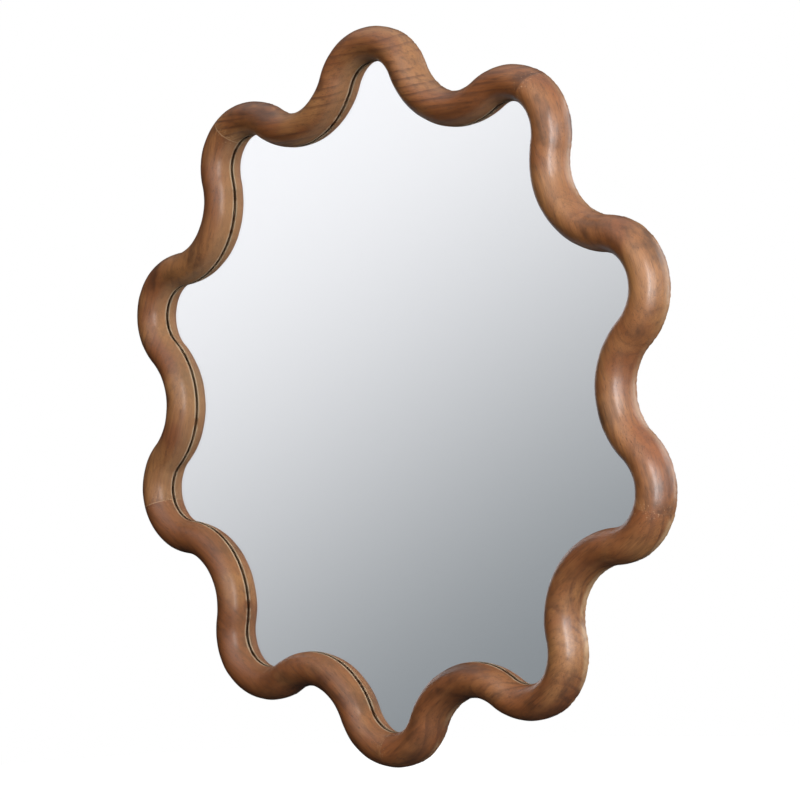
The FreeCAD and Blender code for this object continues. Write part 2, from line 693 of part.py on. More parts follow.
# ---------------------------------------------------------------- bumpers and hangers

def make_bumper(name, turn):
    """A rubber bumper with a well for its screw's head, at a whole lobe's crest."""
    body = new_body(f"bumper_{name}")
    sketch = new_sketch(body, "profile", "YZ")
    hole = "Layout.screw_hole_radius"
    well = "Sizes.bumper_well_radius"
    draw_polygon(sketch, [
        ("0", well), ("0", "Sizes.bumper_face_radius"), ("-Sizes.bumper_height", "Sizes.bumper_radius"),
        ("-Sizes.bumper_height", hole), ("-Sizes.bumper_well_depth", hole),
        ("-Sizes.bumper_well_depth", well)])
    document.recompute()
    revolve(body, "foot", sketch)
    ring = value_of("Layout.bumper_ring")
    angle = math.radians(turn)
    body.Placement = Placement(Vector(ring * math.sin(angle), 0, ring * math.cos(angle)), Rotation())
    body.setExpression("Placement.Base.x", f"Layout.bumper_ring * sin({turn} deg)")
    body.setExpression("Placement.Base.z", f"Layout.bumper_ring * cos({turn} deg)")
    return body


def make_hanger_strap(name, side):
    """A steel strap with a rolled eye at its top. It is drawn with the eye's middle at its origin."""
    body = new_body(f"hanger_strap_{name}")
    plate = new_sketch(body, "plate", "XZ")
    raise_sketch(plate, "Layout.strap_back - Layout.eye_depth")
    draw_strap_plate(plate)
    document.recompute()
    pad(body, "sheet", plate, "Sizes.strap_thickness")
    roll = new_sketch(body, "roll", "YZ")
    draw_circle(roll, "0", "0", "Layout.eye_radius")
    draw_circle(roll, "0", "0", "Layout.eye_bore_radius")
    document.recompute()
    pad(body, "eye", roll, "Sizes.strap_width", Midplane=True)
    face = "Layout.strap_back - Layout.eye_depth"
    for place in ("upper", "lower"):
        sketch = new_sketch(body, place, "YZ")
        stand_sketch(sketch, "0", f"Layout.{place}_screw_z - Layout.eye_z")
        draw_countersink(sketch, face, face, "Sizes.bumper_height - Layout.eye_depth")
        document.recompute()
        groove(body, f"{place}_hole", sketch)
    place_at_eye(body, side)
    return body


def draw_strap_plate(sketch):
    """The strap's outline: square at the eye and rounded at the bottom."""
    half = "Sizes.strap_width / 2"
    rise = "Sizes.strap_rise"
    shoulder = f"{half} - Sizes.strap_reach"
    top = add_line(sketch, (half, rise), (f"-{half}", rise))
    left = add_line(sketch, (f"-{half}", rise), (f"-{half}", shoulder))
    tip = add_arc(sketch, at("0", shoulder), value_of(half), 180, 360)
    right = add_line(sketch, (half, shoulder), (half, rise))
    pin(sketch, top, START, half, rise)
    pin(sketch, top, END, f"-{half}", rise)
    join(sketch, top, END, left, START)
    join(sketch, left, END, tip, START, "Tangent")
    join(sketch, tip, END, right, START, "Tangent")
    join(sketch, right, END, top, START)
    pin(sketch, tip, CENTRE, "0", shoulder)
    drive(sketch, "Radius", tip, size=half)


def make_d_ring(name, side):
    """A D of round wire, hanging from the middle of its straight bar, which is at its origin."""
    body = new_body(f"d_ring_{name}")
    path = new_sketch(body, "path", "XZ")
    draw_ring_path(path)
    section = new_sketch(body, "section", "YZ")
    draw_circle(section, "0", "0", "Sizes.ring_wire_radius")
    document.recompute()
    wire = add_feature(body, "AdditivePipe", "wire", section)
    wire.Spine = (path, [f"Edge{number + 1}" for number in range(len(path.Shape.Edges))])
    path.Visibility = False
    document.recompute()
    place_at_eye(body, side)
    return body


def draw_ring_path(sketch):
    """Half the bar, a corner, a side, the round bottom, and back up the other side."""
    width = "Sizes.ring_half_width"
    corner = "Sizes.ring_corner_radius"
    straight = f"({width} - {corner})"
    foot = f"-({corner} + Sizes.ring_side)"
    bar_right = add_line(sketch, ("0", "0"), (straight, "0"))
    corner_right = add_arc(sketch, at(straight, f"-{corner}"), value_of(corner), 0, 90)
    side_right = add_line(sketch, (width, f"-{corner}"), (width, foot))
    bottom = add_arc(sketch, at("0", foot), value_of(width), 180, 360)
    side_left = add_line(sketch, (f"-{width}", foot), (f"-{width}", f"-{corner}"))
    corner_left = add_arc(sketch, at(f"-{straight}", f"-{corner}"), value_of(corner), 90, 180)
    bar_left = add_line(sketch, (f"-{straight}", "0"), ("0", "0"))
    join(sketch, bar_right, END, corner_right, END, "Tangent")
    join(sketch, corner_right, START, side_right, START, "Tangent")
    join(sketch, side_right, END, bottom, END, "Tangent")
    join(sketch, bottom, START, side_left, START, "Tangent")
    join(sketch, side_left, END, corner_left, END, "Tangent")
    join(sketch, corner_left, START, bar_left, START, "Tangent")
    join(sketch, bar_left, END, bar_right, START)
    join(sketch, bar_right, START, ORIGIN, START)
    for bar, side in ((bar_right, side_right), (bar_left, side_left)):
        sketch.addConstraint(Sketcher.Constraint("Horizontal", bar))
        sketch.addConstraint(Sketcher.Constraint("Vertical", side))
    drive(sketch, "Radius", corner_right, size=corner)
    drive(sketch, "Radius", corner_left, size=corner)
    pin(sketch, bottom, CENTRE, "0", foot)
    drive(sketch, "Radius", bottom, size=width)


def place_at_eye(body, side):
    place = Vector(side * value_of("Layout.hanger_x"), -value_of("Layout.eye_depth"),
                   value_of("Layout.eye_z"))
    body.Placement = Placement(place, Rotation())
    body.setExpression("Placement.Base.x", f"{side} * Layout.hanger_x")
    body.setExpression("Placement.Base.y", "-Layout.eye_depth")
    body.setExpression("Placement.Base.z", "Layout.eye_z")


# ---------------------------------------------------------------- the whole mirror

def make_mirror():
    bodies = []
    for number, name in enumerate(RAIL_NAMES):
        bodies.append(make_rail(name, number * RAIL_TURN - LOBE_TURN))
        bodies.append(make_bumper(name, number * RAIL_TURN))
    bodies += [make_joint_dowels(), make_mirror_glass(), make_silver_backing(), make_glass_spacers(),
               make_foam_pads(), make_back_panel(), make_panel_screws(), make_bumper_screws(),
               make_hanger_screws()]
    for name, side in (("left", -1), ("right", 1)):
        bodies.append(make_hanger_strap(name, side))
        bodies.append(make_d_ring(name, side))
    document.recompute()
    return bodies


def check_document(bodies):
    """Stops if any object failed, or a sub-part has no valid shape."""
    for thing in document.Objects:
        if {"Invalid", "Error"} & set(thing.State):
            raise RuntimeError(f"{thing.Name} failed: {thing.State}")
    for body in bodies:
        if body.Shape.isNull() or not body.Shape.isValid():
            raise RuntimeError(f"{body.Label} has no valid shape")


def report_and_export(bodies):
    os.makedirs("parts", exist_ok=True)
    for body in bodies:
        shape = body.Shape
        box = shape.BoundBox
        print(f"{body.Label}: {len(shape.Solids)} solids, {shape.Volume:.1f} mm3, "
              f"X {box.XMin:.2f} {box.XMax:.2f}, Y {box.YMin:.2f} {box.YMax:.2f}, "
              f"Z {box.ZMin:.2f} {box.ZMax:.2f}")
        shape.exportStep(f"parts/{body.Label}.step")


mirror_bodies = make_mirror()
check_document(mirror_bodies)
report_and_export(mirror_bodies)
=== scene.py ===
# %% [markdown]
# # A wall mirror in a wavy wooden frame
#
# The solids of the mirror come ready made: five rails, a pane with its silvering, a back panel and
# the hardware behind it. This lesson dresses them. The rails and the pane are modelled again with
# a hand-made surface, and every other piece gets a finish. Lengths are in metres, the mirror faces
# -Y, +Z is up, and the origin is the middle of the wave on the wall plane.

# %% Load the solids
import math

import bpy
from mathutils import Matrix, Vector


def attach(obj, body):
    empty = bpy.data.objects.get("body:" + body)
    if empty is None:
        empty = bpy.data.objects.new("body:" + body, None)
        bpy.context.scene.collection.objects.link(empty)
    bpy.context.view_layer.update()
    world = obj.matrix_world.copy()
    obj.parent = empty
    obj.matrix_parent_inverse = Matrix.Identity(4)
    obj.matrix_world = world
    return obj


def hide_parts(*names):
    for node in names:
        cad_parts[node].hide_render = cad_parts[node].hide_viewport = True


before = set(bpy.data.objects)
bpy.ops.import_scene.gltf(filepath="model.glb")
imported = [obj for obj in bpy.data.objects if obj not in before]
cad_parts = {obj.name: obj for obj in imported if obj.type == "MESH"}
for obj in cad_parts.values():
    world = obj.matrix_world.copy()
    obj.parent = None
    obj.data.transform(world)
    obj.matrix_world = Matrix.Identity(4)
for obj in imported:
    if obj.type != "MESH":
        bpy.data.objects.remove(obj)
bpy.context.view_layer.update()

# %% [markdown]
# ## The camera
#
# The picture is taken from the right of the mirror, level with its middle, and the camera leans a
# little. A camera could be aimed with a Track To constraint, but its lean is simpler to set in the
# matrix itself: three axes and a place. The long lens keeps the far side of the wave from looking
# small.

# %% Camera
CAMERA_AZIMUTH = math.radians(43.24)
CAMERA_ELEVATION = math.radians(0.18)
CAMERA_ROLL = -0.0329
CAMERA_DISTANCE = 3.1961
CAMERA_TARGET = Vector((0.0279, -0.0205, -0.00435))
SENSOR = 36
LENS = 117.38
NEAREST = 0.1


def direction(azimuth, elevation):
    """The way from the mirror to a thing at these angles: azimuth 0 is straight in front."""
    level = math.cos(elevation)
    return Vector((math.sin(azimuth) * level, -math.cos(azimuth) * level, math.sin(elevation)))


def look_from(thing, azimuth, elevation, distance, target, roll=0.0):
    """Puts a camera or lamp on a sphere about the target and turns its -Z to it."""
    back = direction(azimuth, elevation)
    right = Vector((0, 0, 1)).cross(back).normalized()
    up = back.cross(right)
    leaning_right = math.cos(roll) * right + math.sin(roll) * up
    axes = Matrix((leaning_right, back.cross(leaning_right), back)).transposed().to_4x4()
    axes.translation = target + back * distance
    thing.matrix_world = axes


bpy.ops.object.select_all(action="DESELECT")
bpy.ops.object.camera_add()
camera = bpy.context.object
camera.data.lens = LENS
camera.data.sensor_width = SENSOR
camera.data.clip_start = NEAREST
look_from(camera, CAMERA_AZIMUTH, CAMERA_ELEVATION, CAMERA_DISTANCE, CAMERA_TARGET, CAMERA_ROLL)
bpy.context.scene.camera = camera
bpy.context.scene.view_settings.view_transform = "Standard"
print("camera at", [round(c, 3) for c in camera.matrix_world.translation])

# %% [markdown]
# ## Shader arithmetic
#
# A procedural finish is mostly sums on maps. Placing Math nodes by hand hides the sum in wires, so
# a small class wraps a socket and adds the node for each sign. Everything else, such as a noise or
# a colour mix, comes from one method that takes the node's type, its settings and its sockets.

# %% Shader helper
class Signal:
    """A value that changes over a surface. Sums and products of signals add Math nodes."""

    def __init__(self, finish, socket):
        self.finish = finish
        self.socket = socket

    def math(self, operation, *terms):
        return self.finish.node("ShaderNodeMath", {"operation": operation}, dict(enumerate(terms)))

    def __add__(self, other):
        return self.math("ADD", self, other)

    def __sub__(self, other):
        return self.math("SUBTRACT", self, other)

    def __rsub__(self, other):
        return self.math("SUBTRACT", other, self)

    def __mul__(self, other):
        return self.math("MULTIPLY", self, other)

    def __truediv__(self, other):
        return self.math("DIVIDE", self, other)

    def __pow__(self, other):
        return self.math("POWER", self, other)

    def __abs__(self):
        return self.math("ABSOLUTE", self)

    __radd__ = __add__
    __rmul__ = __mul__

    def part(self, name):
        """Another output of the same node."""
        return Signal(self.finish, self.socket.node.outputs[name])

    def step(self, low, high, bottom=0.0, top=1.0):
        """Goes smoothly from bottom to top while this goes from low to high."""
        return self.finish.node("ShaderNodeMapRange", {"interpolation_type": "SMOOTHSTEP"},
                                {0: self, 1: low, 2: high, 3: bottom, 4: top})


class Finish:
    """A node tree with a method that adds any node."""

    def __init__(self, owner):
        owner.use_nodes = True
        self.owner = owner
        self.tree = owner.node_tree

    def node(self, kind, settings=None, sockets=None, output=0):
        made = self.tree.nodes.new(kind)
        for name, setting in (settings or {}).items():
            setattr(made, name, setting)
        for name, value in (sockets or {}).items():
            if isinstance(value, Signal):
                self.tree.links.new(value.socket, made.inputs[name])
            else:
                made.inputs[name].default_value = value
        return Signal(self, made.outputs[output])

    def stretched(self, coords, factors):
        return self.node("ShaderNodeVectorMath", {"operation": "MULTIPLY"}, {0: coords, 1: factors})

    def shifted(self, coords, offset):
        return self.node("ShaderNodeVectorMath", {"operation": "ADD"}, {0: coords, 1: offset})

    def noise(self, coords, stretch, detail=2.0, roughness=0.5):
        return self.node("ShaderNodeTexNoise", {}, {
            "Vector": self.stretched(coords, stretch), "Scale": 1.0, "Detail": detail,
            "Roughness": roughness})

    def mixed(self, mask, under, over):
        """One colour over another where the mask is 1."""
        return self.node("ShaderNodeMix", {"data_type": "RGBA"}, {0: mask, 6: under, 7: over},
                         output=2)

    def bumped(self, height, distance):
        """A normal that follows a height, which is 1 at the given distance."""
        return self.node("ShaderNodeBump", {}, {
            "Height": height, "Distance": distance, "Strength": 1.0})


class Surface(Finish):
    """A material whose maps go to its Principled shader."""

    def __init__(self, name, **constants):
        super().__init__(bpy.data.materials.new(name))
        self.shader = self.tree.nodes["Principled BSDF"]
        for socket, value in constants.items():
            self.shader.inputs[socket.replace("_", " ")].default_value = value
        self.place = self.node("ShaderNodeTexCoord", output="Object")

    def feed(self, socket, signal):
        self.tree.links.new(signal.socket, self.shader.inputs[socket])


print("shader helper ready")

# %% [markdown]
# ## The room
#
# The picture has no floor or wall in it, only white, so for the camera the world is plain white.
# What the glass shows is another matter: a studio that is bright above and grey below, in a soft
# slope that leans from side to side, as large panels of paper would make it. An image of a studio
# would do, but a slope in the world's own shader needs no file. The glass passes on what it mirrors
# as transmission rays, and they see the room in full. All other rays see it dimmed, except from
# above and from the bright side, so that the lacquer keeps its dark tones.

# %% World
PAPER_TOP = (1.044, 1.038, 1.07, 1.0)
PAPER_FOOT = (0.262, 0.283, 0.303, 1.0)
BLACK = (0, 0, 0, 1)
WHITE = (1, 1, 1, 1)
SLOPE_FROM = math.radians(-9.5)
SLOPE_TO = math.radians(8.5)
PANELS = 8
PANEL_LEAN = 0.65
DIM_LEVEL = 0.045
BRIGHT_LEVEL = 0.45
BRIGHT_SIDE = math.radians(70)
SIDE_FADE = (-0.6, 0.8)
OVERHEAD_FADE = (math.radians(20), math.radians(60))

bpy.context.scene.world = bpy.data.worlds.new("studio")
room = Finish(bpy.context.scene.world)
outward = room.node("ShaderNodeTexCoord", output="Generated")
view_line = room.node("ShaderNodeSeparateXYZ", {}, {0: outward})
height = view_line.part("Z").math("ARCSINE", view_line.part("Z"))
round_room = height.math("ARCTAN2", view_line.part("X") * -1, view_line.part("Y") * -1)
swing = (round_room - CAMERA_AZIMUTH) * PANELS
lean = swing.math("SINE", swing) * (PANEL_LEAN / PANELS)
paper = room.mixed((height + lean).step(SLOPE_FROM, SLOPE_TO), PAPER_FOOT, PAPER_TOP)

seen = room.node("ShaderNodeLightPath", output="Is Camera Ray")
sideways = (view_line.part("X") * math.sin(BRIGHT_SIDE)
            - view_line.part("Y") * math.cos(BRIGHT_SIDE))
beside = sideways.step(*SIDE_FADE, DIM_LEVEL, BRIGHT_LEVEL)
overhead = height.step(*OVERHEAD_FADE, 0, BRIGHT_LEVEL)
level = overhead.math("MAXIMUM", overhead, beside)
level = level.math("MAXIMUM", level, seen.part("Is Transmission Ray"))
studio = room.mixed(seen, room.mixed(level, BLACK, paper), WHITE)
room.tree.links.new(studio.socket, room.tree.nodes["Background"].inputs["Color"])
print("world nodes:", len(room.tree.nodes))

# %% [markdown]
# A pale disc of floor takes the shadow under the mirror. A plain disc would look grey against the
# white world, so for the camera a white glow is mixed into it, and the disc neither shows in the
# glass nor throws light at the frame.

# %% Floor
FLOOR_HEIGHT = -0.75
FLOOR_RADIUS = 2.4
FLOOR_GLOW = 1.35
GLOW_SHARE = 0.6

bpy.ops.object.select_all(action="DESELECT")
bpy.ops.mesh.primitive_circle_add(vertices=96, radius=FLOOR_RADIUS, fill_type="NGON",
                                  location=(0, 0, FLOOR_HEIGHT))
floor = bpy.context.object
floor.name = "floor"
pale = Surface("pale_floor", Base_Color=(0.75, 0.75, 0.75, 1), Roughness=0.9,
               Specular_IOR_Level=0.1)
glow = pale.node("ShaderNodeEmission", {}, {"Color": WHITE, "Strength": FLOOR_GLOW})
share = pale.node("ShaderNodeLightPath", output="Is Camera Ray") * GLOW_SHARE
matt = Signal(pale, pale.shader.outputs[0])
both = pale.node("ShaderNodeMixShader", {}, {0: share, 1: matt, 2: glow})
pale.tree.links.new(both.socket, pale.tree.nodes["Material Output"].inputs["Surface"])
floor.data.materials.append(pale.owner)
floor.visible_glossy = False
floor.visible_diffuse = False
floor.visible_transmission = False
print("floor at", FLOOR_HEIGHT)

# %% [markdown]
# ## The lamps
#
# The highlight runs down each upright stretch of the rails, right of the line to the camera, so the
# main lamp is a tall narrow soft box to the right of the camera. A wide panel beyond it lights the
# sides that face right, and through the glass it also reaches the inner sides of the left rails.
# Large fills in front and above keep the rest open and don't shine in the lacquer. Behind the
# mirror, one soft box gives the outer flank and the metal a faint sheen, and another only lights
# the back panel.

# %% Lamps
def add_soft_box(name, azimuth, elevation, distance, width, tall, power, shines):
    """A rectangular lamp that looks at the mirror. Lacquer and glass show it only if it shines."""
    bpy.ops.object.select_all(action="DESELECT")
    bpy.ops.object.light_add(type="AREA")
    lamp = bpy.context.object
    lamp.name = name
    lamp.data.shape = "RECTANGLE"
    lamp.data.size = width
    lamp.data.size_y = tall
    lamp.data.energy = power
    lamp.visible_glossy = lamp.visible_transmission = shines
    look_from(lamp, math.radians(azimuth), math.radians(elevation), distance, Vector((0, 0, 0)))


add_soft_box("tall_soft_box", azimuth=69, elevation=8, distance=3.2, width=0.62, tall=2.4,
             power=46, shines=True)
add_soft_box("side_panel", azimuth=86, elevation=4, distance=3.2, width=1.6, tall=2.2,
             power=38, shines=True)
add_soft_box("front_fill", azimuth=25, elevation=20, distance=3.2, width=2.0, tall=2.0,
             power=39, shines=False)
add_soft_box("top_soft_box", azimuth=20, elevation=62, distance=3.0, width=2.0, tall=2.0,
             power=30, shines=False)
add_soft_box("back_fill", azimuth=158, elevation=12, distance=3.0, width=2.2, tall=2.2,
             power=26, shines=True)
add_soft_box("wall_side_fill", azimuth=205, elevation=15, distance=3.0, width=2.0, tall=2.0,
             power=34, shines=False)

# %% [markdown]
# ## The wave
#
# The frame's middle line is made of arcs that run into each other: ten lobes on one circle and ten
# valleys on a wider one. Anything that follows the wave is a profile spun about one centre after
# the other. The same arcs say how far any point lies from the middle line, which the finishes need.

# %% Wave
LOBES = 10
RAILS = ("top", "upper_right", "lower_right", "lower_left", "upper_left")
LOBE_TURN = math.tau / LOBES
RAIL_TURN = math.tau / len(RAILS)
LOBE_RING = 0.372
LOBE_BEND = 0.0635
VALLEY_RING = 0.4515
CREST = LOBE_RING + LOBE_BEND
valley_across = VALLEY_RING * math.sin(LOBE_TURN / 2)
valley_beyond = VALLEY_RING * math.cos(LOBE_TURN / 2) - LOBE_RING
VALLEY_BEND = math.hypot(valley_across, valley_beyond) - LOBE_BEND
LOBE_SWEEP = math.atan2(valley_across, valley_beyond)
VALLEY_SWEEP = LOBE_SWEEP - LOBE_TURN / 2


def ring_place(radius, turn):
    """A place on a ring, clockwise from the top as seen from the front."""
    return Vector((radius * math.sin(turn), 0, radius * math.cos(turn)))


def wave_arcs(lobes):
    """Centre and signed sweep of each arc from the top crest clockwise over some lobes."""
    arcs = []
    for number in range(lobes):
        turn = number * LOBE_TURN
        arcs.append((ring_place(LOBE_RING, turn), LOBE_SWEEP))
        arcs.append((ring_place(VALLEY_RING, turn + LOBE_TURN / 2), -2 * VALLEY_SWEEP))
        arcs.append((ring_place(LOBE_RING, turn + LOBE_TURN), LOBE_SWEEP))
    return arcs


def inset_of(point):
    """How far a point lies from the wave's middle line, towards the glass."""
    turn = math.atan2(point.x, point.z)
    lobe = round(turn / LOBE_TURN)
    off_lobe = Vector((point.x, 0, point.z)) - ring_place(LOBE_RING, lobe * LOBE_TURN)
    facing = math.atan2(off_lobe.x, off_lobe.z) - lobe * LOBE_TURN
    facing = (facing + math.pi) % math.tau - math.pi
    if abs(facing) <= LOBE_SWEEP:
        return LOBE_BEND - off_lobe.length
    side = 0.5 if facing > 0 else -0.5
    off_valley = Vector((point.x, 0, point.z)) - ring_place(VALLEY_RING, (lobe + side) * LOBE_TURN)
    return off_valley.length - VALLEY_BEND


print("valley bend:", round(VALLEY_BEND, 5), "sweeps:",
      [round(math.degrees(sweep), 2) for sweep in (LOBE_SWEEP, VALLEY_SWEEP)])

# %% [markdown]
# ## Drawing and spinning a profile
#
# A profile starts as one point, the corners follow by extruding the last point, and chosen corners
# are rounded with a vertex bevel. Spin then carries the whole profile round each arc of the wave.
# Spin turns the other way from the rest of Blender here, so its axis points to the back.

# %% Profile tools
NEAR = 1e-5


def select_points(thing, wanted):
    """Selects the vertices that pass a test, and leaves the object in edit mode."""
    bpy.ops.object.mode_set(mode="OBJECT")
    for group in (thing.data.polygons, thing.data.edges):
        for element in group:
            element.select = False
    for vertex in thing.data.vertices:
        vertex.select = wanted(vertex.co)
    bpy.ops.object.mode_set(mode="EDIT")
    bpy.ops.mesh.select_mode(type="VERT")


def draw_on(corners, start):
    """Extrudes the selected point from corner to corner. Corners are (depth, height)."""
    for depth, up in corners:
        step = (0, depth - start[0], up - start[1])
        bpy.ops.mesh.extrude_region_move(TRANSFORM_OT_translate={"value": step})
        start = (depth, up)


def round_corner(thing, depth, up, radius, segments):
    """Bevels the one vertex at this place of a profile."""
    corner = Vector((0, depth, up))
    select_points(thing, lambda co: (co - corner).length < NEAR)
    bpy.ops.mesh.bevel(offset=radius, segments=segments, affect="VERTICES")


def spin_along(arcs, step):
    """Spins what is selected about one centre after another."""
    for centre, sweep in arcs:
        bpy.ops.mesh.spin(steps=math.ceil(abs(sweep) / step), angle=sweep, center=centre,
                          axis=(0, -1, 0))


def recalculate():
    """Merges doubles and turns all faces of the object in edit mode outwards."""
    bpy.ops.mesh.select_all(action="SELECT")
    bpy.ops.mesh.remove_doubles(threshold=NEAR)
    bpy.ops.mesh.normals_make_consistent(inside=False)
    bpy.ops.object.mode_set(mode="OBJECT")


print("profile tools ready")

# %% [markdown]
# ## The rails
#
# The front of a rail is rounded like half an egg and the back is square, with two steps for the
# glass and the panel. A curve with a bevel profile could sweep such a section too, but its mesh
# bunches up in the tight lobes. Half of a stretched circle gives the egg, and the rest is drawn on
# from its ends.

# %% Rail section
RAIL_HALF = 0.0215
DOME = 0.0275
GLASS_FRONT = -0.0205
RAIL_BACK = -0.006
PANEL_SEAT = -0.0133
GLASS_WALL = CREST - 0.0115
PANEL_WALL = CREST - 0.0015
OUTER = CREST + RAIL_HALF
INNER = CREST - RAIL_HALF
BACK_ROUND = 0.002
LIP_ROUND = 0.0004
REBATE_ROUND = 0.0006

bpy.ops.object.select_all(action="DESELECT")
bpy.ops.mesh.primitive_circle_add(vertices=96, radius=RAIL_HALF, location=(0, GLASS_FRONT, CREST),
                                  rotation=(0, math.pi / 2, 0))
rail = bpy.context.object
bpy.ops.object.mode_set(mode="EDIT")
bpy.ops.transform.resize(value=(1, DOME / RAIL_HALF, 1), center_override=(0, GLASS_FRONT, CREST))
bpy.ops.object.mode_set(mode="OBJECT")
bpy.ops.object.transform_apply()
select_points(rail, lambda co: co.y > GLASS_FRONT + NEAR)
bpy.ops.mesh.delete(type="VERT")
select_points(rail, lambda co: co.z > OUTER - NEAR)
draw_on([(RAIL_BACK, OUTER), (RAIL_BACK, PANEL_WALL), (PANEL_SEAT, PANEL_WALL),
         (PANEL_SEAT, GLASS_WALL), (GLASS_FRONT, GLASS_WALL), (GLASS_FRONT, INNER)],
        (GLASS_FRONT, OUTER))
bpy.ops.mesh.select_all(action="SELECT")
bpy.ops.mesh.remove_doubles(threshold=NEAR)
round_corner(rail, RAIL_BACK, OUTER, BACK_ROUND, 5)
round_corner(rail, GLASS_FRONT, INNER, LIP_ROUND, 3)
round_corner(rail, RAIL_BACK, PANEL_WALL, REBATE_ROUND, 2)
print("section points:", len(rail.data.vertices))

# %% [markdown]
# The straight sides are divided, so that the carving that follows has points to move. Then the
# section is spun over two lobes, which is one rail.

# %% Rail sweep
LONG_EDGE = 0.004
SIDE_CUTS = 6
RAIL_STEP = math.radians(1.5)

bpy.ops.mesh.select_mode(type="EDGE")
bpy.ops.mesh.select_all(action="DESELECT")
bpy.ops.object.mode_set(mode="OBJECT")
for edge in rail.data.edges:
    first, second = (rail.data.vertices[end].co for end in edge.vertices)
    edge.select = (first - second).length > LONG_EDGE
bpy.ops.object.mode_set(mode="EDIT")
bpy.ops.mesh.subdivide(number_cuts=SIDE_CUTS)
bpy.ops.mesh.select_mode(type="VERT")
bpy.ops.mesh.select_all(action="SELECT")
spin_along(wave_arcs(2), RAIL_STEP)
recalculate()
print("rail faces:", len(rail.data.polygons))

# %% [markdown]
# The five rails are alike before they are carved, so one is copied and turned for the others. Each
# copy gets its own mesh, and its turn is applied, so that its finish stays in place.

# %% Five rails
rails = {}
for number, name in enumerate(RAILS):
    bpy.ops.object.select_all(action="DESELECT")
    rail.select_set(True)
    bpy.context.view_layer.objects.active = rail
    bpy.ops.object.duplicate()
    copy = bpy.context.object
    copy.name = f"carved_rail_{name}"
    copy.rotation_euler = (0, number * RAIL_TURN - LOBE_TURN, 0)
    bpy.ops.object.transform_apply(rotation=True)
    rails[name] = copy
bpy.data.objects.remove(rail)
print("rails:", sorted(rails))

# %% [markdown]
# ## A hand-made surface
#
# The real rails are sawn out, rounded over with a rasp and sanded by hand, so no two lobes are
# quite alike and the outer back edge is ragged. Displace moves the surface inwards only, so the
# frame keeps its outside size: softly all over the front, and finely along the back edge.

# %% Hand work
def add_group(thing, name, weight_of):
    """A vertex group whose weights come from each point's place."""
    group = thing.vertex_groups.new(name=name)
    for vertex in thing.data.vertices:
        weight = weight_of(vertex.co)
        if weight > 0:
            group.add([vertex.index], weight, "REPLACE")


def ease(value, low, high):
    """Goes smoothly from 0 to 1 while a number goes from low to high."""
    share = min(1.0, max(0.0, (value - low) / (high - low)))
    return share * share * (3 - 2 * share)


def carve(thing, name, grain, depth, weight_of):
    """Displaces the surface inwards by cloudy noise, and applies it."""
    texture = bpy.data.textures.new(name, "CLOUDS")
    texture.noise_scale = grain
    texture.noise_depth = 2
    add_group(thing, name, weight_of)
    displace = thing.modifiers.new(name, "DISPLACE")
    displace.texture = texture
    displace.texture_coords = "LOCAL"
    displace.vertex_group = name
    displace.mid_level = 1.0
    displace.strength = depth
    bpy.ops.object.select_all(action="DESELECT")
    thing.select_set(True)
    bpy.context.view_layer.objects.active = thing
    bpy.ops.object.modifier_apply(modifier=name)
    thing.vertex_groups.remove(thing.vertex_groups[name])


FRONT_FADE = (GLASS_FRONT - 0.008, GLASS_FRONT - 0.001)
EDGE_ACROSS = (RAIL_HALF - 0.006, RAIL_HALF - 0.0015)
EDGE_DEEP = (RAIL_BACK - 0.009, RAIL_BACK - 0.003)


def on_front(co):
    return 1 - ease(co.y, *FRONT_FADE)


def on_outer_edge(co):
    return ease(-inset_of(co), *EDGE_ACROSS) * ease(co.y, *EDGE_DEEP)


for name, thing in rails.items():
    carve(thing, "shaping", grain=0.04, depth=0.0011, weight_of=on_front)
    carve(thing, "rasping", grain=0.0045, depth=0.0015, weight_of=on_outer_edge)
print("carved:", len(rails))

# %% [markdown]
# The ends of each rail are closed last, so that both sides of a joint are carved alike. Each point
# also keeps its distance from the middle line, which the finish uses: the band beside the glass
# gets a painted highlight, the lip's edge wear with a painted highlight, and the outer flank tan
# with a painted sheen.

# %% Rail ends
def close_end(thing, middle, side):
    """Fills the open end on one side of a rail's middle."""
    bpy.ops.object.mode_set(mode="EDIT")
    bpy.ops.mesh.select_mode(type="VERT")
    bpy.ops.mesh.select_all(action="DESELECT")
    bpy.ops.mesh.select_non_manifold(extend=False)
    bpy.ops.object.mode_set(mode="OBJECT")
    ahead = Vector((math.cos(middle), 0, -math.sin(middle))) * side
    points = {tuple(vertex.co) for vertex in thing.data.vertices
              if vertex.select and vertex.co.dot(ahead) > 0}
    select_points(thing, lambda co: tuple(co) in points)
    bpy.ops.mesh.edge_face_add()


CREASE = math.radians(35)

for name, thing in rails.items():
    bpy.ops.object.select_all(action="DESELECT")
    thing.select_set(True)
    bpy.context.view_layer.objects.active = thing
    for side in (1, -1):
        close_end(thing, RAILS.index(name) * RAIL_TURN, side)
    bpy.ops.mesh.select_all(action="SELECT")
    bpy.ops.mesh.normals_make_consistent(inside=False)
    bpy.ops.object.mode_set(mode="OBJECT")
    bpy.ops.object.shade_smooth_by_angle(angle=CREASE)
    insets = thing.data.attributes.new("inset", "FLOAT", "POINT")
    for vertex in thing.data.vertices:
        insets.data[vertex.index].value = inset_of(vertex.co)
    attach(thing, "frame")
    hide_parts(f"rail_{name}")
print("rail triangles:", sum(len(face.vertices) - 2 for face in thing.data.polygons))

# %% [markdown]
# ## Stained wood
#
# Each rail is cut from its own board, with the grain along the rail's chord. The Mapping node turns
# the piece so that its board lies flat, and the growth rings are then circles about a far heart.
# Late wood gives a thin dark line at the end of each ring, long fibres and short pores run with the
# grain, the stain lies in clouds, and a satin lacquer goes over it all.

